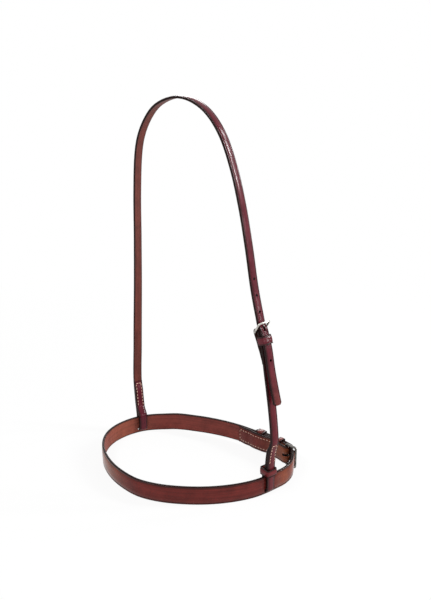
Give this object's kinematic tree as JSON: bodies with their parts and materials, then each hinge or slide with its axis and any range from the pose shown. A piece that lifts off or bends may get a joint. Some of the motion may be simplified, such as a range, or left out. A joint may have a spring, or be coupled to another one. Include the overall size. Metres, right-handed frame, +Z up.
{
  "type": "bridle noseband",
  "caption": "Plain cavesson noseband: flat nose strap buckled under the jaw, on a thin head strap looped round it and buckled on the near cheek.",
  "frame": {"origin": "middle of the bounding box, at the level of the nose strap's lower edge", "axes": "+X towards the near side, where the head buckle is; -Y towards the nose; +Z up towards the poll"},
  "size_m": [0.278, 0.2096, 0.5018],
  "materials": {
    "bridle_leather": "dyed and waxed bridle leather, semi-gloss",
    "nickel_plate": "bright nickel plate",
    "waxed_thread": "waxed linen thread"
  },
  "bodies": {
    "nose_strap": {"nose_band": "bridle_leather", "chin_front_keeper": "bridle_leather", "chin_rear_keeper": "bridle_leather", "chin_buckle_thread": "waxed_thread"},
    "jaw_frame": {"chin_buckle_frame": "nickel_plate"},
    "jaw_tongue": {"chin_buckle_tongue": "nickel_plate"},
    "head_straps": {"head_strap": "bridle_leather", "near_cheek_strap": "bridle_leather", "head_keeper": "bridle_leather", "head_buckle_thread": "waxed_thread", "near_loop_outer_thread": "waxed_thread", "near_loop_inner_thread": "waxed_thread", "off_loop_outer_thread": "waxed_thread", "off_loop_inner_thread": "waxed_thread"},
    "cheek_frame": {"head_buckle_frame": "nickel_plate"},
    "cheek_tongue": {"head_buckle_tongue": "nickel_plate"},
    "runner": {"near_loop_runner": "bridle_leather"}
  },
  "joints": [
    {"name": "head_strap_swing", "type": "hinge", "parent": "nose_strap", "child": "head_straps", "pos_m": [-0.00162, 0.02096, 0.016], "axis": [1, 0, 0], "range_deg": [-4, 4]},
    {"name": "jaw_frame_lift", "type": "hinge", "parent": "nose_strap", "child": "jaw_frame", "pos_m": [0.09673, 0.09201, 0.0174], "axis": [0, 0, 1], "range_deg": [0, 8]},
    {"name": "jaw_tongue_lift", "type": "hinge", "parent": "jaw_frame", "child": "jaw_tongue", "pos_m": [0.09673, 0.09201, 0.0174], "axis": [0, 0, 1], "range_deg": [0, 8]},
    {"name": "cheek_frame_lift", "type": "hinge", "parent": "head_straps", "child": "cheek_frame", "pos_m": [0.10102, 0.02338, 0.2225], "axis": [0.1106, 0.9939, 0], "range_deg": [0, 8]},
    {"name": "cheek_tongue_lift", "type": "hinge", "parent": "cheek_frame", "child": "cheek_tongue", "pos_m": [0.10102, 0.02338, 0.2225], "axis": [0.1106, 0.9939, 0], "range_deg": [0, 8]},
    {"name": "runner_slide", "type": "slide", "parent": "head_straps", "child": "runner", "axis": [0, 0, 1], "range_m": [0, 0.007]}
  ]
}
